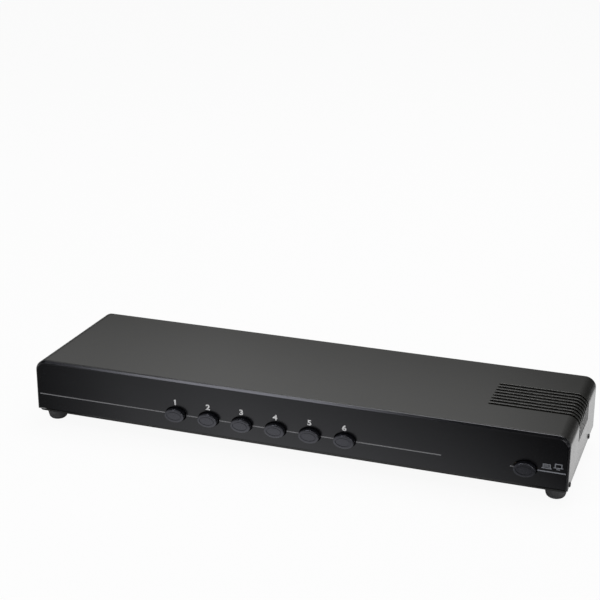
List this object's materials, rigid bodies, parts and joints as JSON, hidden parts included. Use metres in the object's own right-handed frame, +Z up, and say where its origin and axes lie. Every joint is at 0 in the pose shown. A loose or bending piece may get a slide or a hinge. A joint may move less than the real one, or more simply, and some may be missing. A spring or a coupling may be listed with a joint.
{
  "type": "speaker selector switch",
  "caption": "Low full-width black case with oval push buttons in front, vent slots over one end and a row of lever wire terminals behind.",
  "frame": {"origin": "on the ground, under the middle of the object's overall width and depth", "axes": "+X to the right as seen from the front, +Y from the front face to the back, +Z up"},
  "size_m": [0.422, 0.128, 0.0529],
  "materials": {
    "black_plastic": "black plastic",
    "board_laminate": "brown printed circuit laminate",
    "button_plastic": "satin dark grey plastic",
    "cement": "white ceramic resistor body",
    "foot_rubber": "dull dark rubber",
    "moulded_front": "satin black moulded plastic",
    "painted_case": "black satin paint on folded steel",
    "plated_steel": "zinc-plated steel",
    "plunger_plastic": "white plastic",
    "red_plastic": "red plastic",
    "screw_steel": "blackened steel",
    "spring_metal": "tinned spring metal",
    "support_nylon": "natural nylon",
    "switch_plastic": "black plastic",
    "terminal_plastic": "black plastic",
    "zinc_tray": "black satin paint on folded steel"
  },
  "bodies": {
    "chassis": {"fascia": "moulded_front", "top_cover": "painted_case", "base_tray": "zinc_tray", "rubber_feet": "foot_rubber", "circuit_board": "board_laminate", "board_supports": "support_nylon", "power_resistors": "cement", "switch_housings": "switch_plastic", "terminal_blocks": "terminal_plastic", "terminal_contacts": "spring_metal", "cover_screws": "screw_steel", "spring_speaker_1": "plated_steel", "spring_speaker_2": "plated_steel", "spring_speaker_3": "plated_steel", "spring_speaker_4": "plated_steel", "spring_speaker_5": "plated_steel", "spring_speaker_6": "plated_steel", "spring_protection": "plated_steel"},
    "selector_speaker_1": {"button_speaker_1": "button_plastic", "plunger_speaker_1": "plunger_plastic"},
    "selector_speaker_2": {"button_speaker_2": "button_plastic", "plunger_speaker_2": "plunger_plastic"},
    "selector_speaker_3": {"button_speaker_3": "button_plastic", "plunger_speaker_3": "plunger_plastic"},
    "selector_speaker_4": {"button_speaker_4": "button_plastic", "plunger_speaker_4": "plunger_plastic"},
    "selector_speaker_5": {"button_speaker_5": "button_plastic", "plunger_speaker_5": "plunger_plastic"},
    "selector_speaker_6": {"button_speaker_6": "button_plastic", "plunger_speaker_6": "plunger_plastic"},
    "selector_protection": {"button_protection": "button_plastic", "plunger_protection": "plunger_plastic"},
    "lever_speaker_6_1": {"lever_speaker_6_1": "black_plastic"},
    "lever_speaker_6_2": {"lever_speaker_6_2": "red_plastic"},
    "lever_speaker_6_3": {"lever_speaker_6_3": "black_plastic"},
    "lever_speaker_6_4": {"lever_speaker_6_4": "red_plastic"},
    "lever_speaker_5_1": {"lever_speaker_5_1": "black_plastic"},
    "lever_speaker_5_2": {"lever_speaker_5_2": "red_plastic"},
    "lever_speaker_5_3": {"lever_speaker_5_3": "black_plastic"},
    "lever_speaker_5_4": {"lever_speaker_5_4": "red_plastic"},
    "lever_speaker_4_1": {"lever_speaker_4_1": "black_plastic"},
    "lever_speaker_4_2": {"lever_speaker_4_2": "red_plastic"},
    "lever_speaker_4_3": {"lever_speaker_4_3": "black_plastic"},
    "lever_speaker_4_4": {"lever_speaker_4_4": "red_plastic"},
    "lever_speaker_3_1": {"lever_speaker_3_1": "black_plastic"},
    "lever_speaker_3_2": {"lever_speaker_3_2": "red_plastic"},
    "lever_speaker_3_3": {"lever_speaker_3_3": "black_plastic"},
    "lever_speaker_3_4": {"lever_speaker_3_4": "red_plastic"},
    "lever_speaker_2_1": {"lever_speaker_2_1": "black_plastic"},
    "lever_speaker_2_2": {"lever_speaker_2_2": "red_plastic"},
    "lever_speaker_2_3": {"lever_speaker_2_3": "black_plastic"},
    "lever_speaker_2_4": {"lever_speaker_2_4": "red_plastic"},
    "lever_speaker_1_1": {"lever_speaker_1_1": "black_plastic"},
    "lever_speaker_1_2": {"lever_speaker_1_2": "red_plastic"},
    "lever_speaker_1_3": {"lever_speaker_1_3": "black_plastic"},
    "lever_speaker_1_4": {"lever_speaker_1_4": "red_plastic"},
    "lever_amplifier_1": {"lever_amplifier_1": "black_plastic"},
    "lever_amplifier_2": {"lever_amplifier_2": "red_plastic"},
    "lever_amplifier_3": {"lever_amplifier_3": "black_plastic"},
    "lever_amplifier_4": {"lever_amplifier_4": "red_plastic"}
  },
  "joints": [
    {"name": "press_speaker_1", "type": "slide", "parent": "chassis", "child": "selector_speaker_1", "axis": [0, 1, 0], "range_m": [0, 0.0035], "stiffness_N_per_m": 500, "deforming": ["spring_speaker_1"]},
    {"name": "press_speaker_2", "type": "slide", "parent": "chassis", "child": "selector_speaker_2", "axis": [0, 1, 0], "range_m": [0, 0.0035], "stiffness_N_per_m": 500, "deforming": ["spring_speaker_2"]},
    {"name": "press_speaker_3", "type": "slide", "parent": "chassis", "child": "selector_speaker_3", "axis": [0, 1, 0], "range_m": [0, 0.0035], "stiffness_N_per_m": 500, "deforming": ["spring_speaker_3"]},
    {"name": "press_speaker_4", "type": "slide", "parent": "chassis", "child": "selector_speaker_4", "axis": [0, 1, 0], "range_m": [0, 0.0035], "stiffness_N_per_m": 500, "deforming": ["spring_speaker_4"]},
    {"name": "press_speaker_5", "type": "slide", "parent": "chassis", "child": "selector_speaker_5", "axis": [0, 1, 0], "range_m": [0, 0.0035], "stiffness_N_per_m": 500, "deforming": ["spring_speaker_5"]},
    {"name": "press_speaker_6", "type": "slide", "parent": "chassis", "child": "selector_speaker_6", "axis": [0, 1, 0], "range_m": [0, 0.0035], "stiffness_N_per_m": 500, "deforming": ["spring_speaker_6"]},
    {"name": "press_protection", "type": "slide", "parent": "chassis", "child": "selector_protection", "axis": [0, 1, 0], "range_m": [0, 0.0035], "stiffness_N_per_m": 500, "deforming": ["spring_protection"]},
    {"name": "open_speaker_6_1", "type": "hinge", "parent": "chassis", "child": "lever_speaker_6_1", "pos_m": [-0.18441, 0.04928, 0.0322], "axis": [-1, 0, 0], "range_deg": [0, 22], "stiffness_Nm_per_rad": 0.1},
    {"name": "open_speaker_6_2", "type": "hinge", "parent": "chassis", "child": "lever_speaker_6_2", "pos_m": [-0.17501, 0.04928, 0.0322], "axis": [-1, 0, 0], "range_deg": [0, 22], "stiffness_Nm_per_rad": 0.1},
    {"name": "open_speaker_6_3", "type": "hinge", "parent": "chassis", "child": "lever_speaker_6_3", "pos_m": [-0.16561, 0.04928, 0.0322], "axis": [-1, 0, 0], "range_deg": [0, 22], "stiffness_Nm_per_rad": 0.1},
    {"name": "open_speaker_6_4", "type": "hinge", "parent": "chassis", "child": "lever_speaker_6_4", "pos_m": [-0.15621, 0.04928, 0.0322], "axis": [-1, 0, 0], "range_deg": [0, 22], "stiffness_Nm_per_rad": 0.1},
    {"name": "open_speaker_5_1", "type": "hinge", "parent": "chassis", "child": "lever_speaker_5_1", "pos_m": [-0.12764, 0.04928, 0.0322], "axis": [-1, 0, 0], "range_deg": [0, 22], "stiffness_Nm_per_rad": 0.1},
    {"name": "open_speaker_5_2", "type": "hinge", "parent": "chassis", "child": "lever_speaker_5_2", "pos_m": [-0.11824, 0.04928, 0.0322], "axis": [-1, 0, 0], "range_deg": [0, 22], "stiffness_Nm_per_rad": 0.1},
    {"name": "open_speaker_5_3", "type": "hinge", "parent": "chassis", "child": "lever_speaker_5_3", "pos_m": [-0.10884, 0.04928, 0.0322], "axis": [-1, 0, 0], "range_deg": [0, 22], "stiffness_Nm_per_rad": 0.1},
    {"name": "open_speaker_5_4", "type": "hinge", "parent": "chassis", "child": "lever_speaker_5_4", "pos_m": [-0.09944, 0.04928, 0.0322], "axis": [-1, 0, 0], "range_deg": [0, 22], "stiffness_Nm_per_rad": 0.1},
    {"name": "open_speaker_4_1", "type": "hinge", "parent": "chassis", "child": "lever_speaker_4_1", "pos_m": [-0.07087, 0.04928, 0.0322], "axis": [-1, 0, 0], "range_deg": [0, 22], "stiffness_Nm_per_rad": 0.1},
    {"name": "open_speaker_4_2", "type": "hinge", "parent": "chassis", "child": "lever_speaker_4_2", "pos_m": [-0.06147, 0.04928, 0.0322], "axis": [-1, 0, 0], "range_deg": [0, 22], "stiffness_Nm_per_rad": 0.1},
    {"name": "open_speaker_4_3", "type": "hinge", "parent": "chassis", "child": "lever_speaker_4_3", "pos_m": [-0.05207, 0.04928, 0.0322], "axis": [-1, 0, 0], "range_deg": [0, 22], "stiffness_Nm_per_rad": 0.1},
    {"name": "open_speaker_4_4", "type": "hinge", "parent": "chassis", "child": "lever_speaker_4_4", "pos_m": [-0.04267, 0.04928, 0.0322], "axis": [-1, 0, 0], "range_deg": [0, 22], "stiffness_Nm_per_rad": 0.1},
    {"name": "open_speaker_3_1", "type": "hinge", "parent": "chassis", "child": "lever_speaker_3_1", "pos_m": [-0.0141, 0.04928, 0.0322], "axis": [-1, 0, 0], "range_deg": [0, 22], "stiffness_Nm_per_rad": 0.1},
    {"name": "open_speaker_3_2", "type": "hinge", "parent": "chassis", "child": "lever_speaker_3_2", "pos_m": [-0.0047, 0.04928, 0.0322], "axis": [-1, 0, 0], "range_deg": [0, 22], "stiffness_Nm_per_rad": 0.1},
    {"name": "open_speaker_3_3", "type": "hinge", "parent": "chassis", "child": "lever_speaker_3_3", "pos_m": [0.0047, 0.04928, 0.0322], "axis": [-1, 0, 0], "range_deg": [0, 22], "stiffness_Nm_per_rad": 0.1},
    {"name": "open_speaker_3_4", "type": "hinge", "parent": "chassis", "child": "lever_speaker_3_4", "pos_m": [0.0141, 0.04928, 0.0322], "axis": [-1, 0, 0], "range_deg": [0, 22], "stiffness_Nm_per_rad": 0.1},
    {"name": "open_speaker_2_1", "type": "hinge", "parent": "chassis", "child": "lever_speaker_2_1", "pos_m": [0.04267, 0.04928, 0.0322], "axis": [-1, 0, 0], "range_deg": [0, 22], "stiffness_Nm_per_rad": 0.1},
    {"name": "open_speaker_2_2", "type": "hinge", "parent": "chassis", "child": "lever_speaker_2_2", "pos_m": [0.05207, 0.04928, 0.0322], "axis": [-1, 0, 0], "range_deg": [0, 22], "stiffness_Nm_per_rad": 0.1},
    {"name": "open_speaker_2_3", "type": "hinge", "parent": "chassis", "child": "lever_speaker_2_3", "pos_m": [0.06147, 0.04928, 0.0322], "axis": [-1, 0, 0], "range_deg": [0, 22], "stiffness_Nm_per_rad": 0.1},
    {"name": "open_speaker_2_4", "type": "hinge", "parent": "chassis", "child": "lever_speaker_2_4", "pos_m": [0.07087, 0.04928, 0.0322], "axis": [-1, 0, 0], "range_deg": [0, 22], "stiffness_Nm_per_rad": 0.1},
    {"name": "open_speaker_1_1", "type": "hinge", "parent": "chassis", "child": "lever_speaker_1_1", "pos_m": [0.09944, 0.04928, 0.0322], "axis": [-1, 0, 0], "range_deg": [0, 22], "stiffness_Nm_per_rad": 0.1},
    {"name": "open_speaker_1_2", "type": "hinge", "parent": "chassis", "child": "lever_speaker_1_2", "pos_m": [0.10884, 0.04928, 0.0322], "axis": [-1, 0, 0], "range_deg": [0, 22], "stiffness_Nm_per_rad": 0.1},
    {"name": "open_speaker_1_3", "type": "hinge", "parent": "chassis", "child": "lever_speaker_1_3", "pos_m": [0.11824, 0.04928, 0.0322], "axis": [-1, 0, 0], "range_deg": [0, 22], "stiffness_Nm_per_rad": 0.1},
    {"name": "open_speaker_1_4", "type": "hinge", "parent": "chassis", "child": "lever_speaker_1_4", "pos_m": [0.12764, 0.04928, 0.0322], "axis": [-1, 0, 0], "range_deg": [0, 22], "stiffness_Nm_per_rad": 0.1},
    {"name": "open_amplifier_1", "type": "hinge", "parent": "chassis", "child": "lever_amplifier_1", "pos_m": [0.15621, 0.04928, 0.0322], "axis": [-1, 0, 0], "range_deg": [0, 22], "stiffness_Nm_per_rad": 0.1},
    {"name": "open_amplifier_2", "type": "hinge", "parent": "chassis", "child": "lever_amplifier_2", "pos_m": [0.16561, 0.04928, 0.0322], "axis": [-1, 0, 0], "range_deg": [0, 22], "stiffness_Nm_per_rad": 0.1},
    {"name": "open_amplifier_3", "type": "hinge", "parent": "chassis", "child": "lever_amplifier_3", "pos_m": [0.17501, 0.04928, 0.0322], "axis": [-1, 0, 0], "range_deg": [0, 22], "stiffness_Nm_per_rad": 0.1},
    {"name": "open_amplifier_4", "type": "hinge", "parent": "chassis", "child": "lever_amplifier_4", "pos_m": [0.18441, 0.04928, 0.0322], "axis": [-1, 0, 0], "range_deg": [0, 22], "stiffness_Nm_per_rad": 0.1}
  ]
}
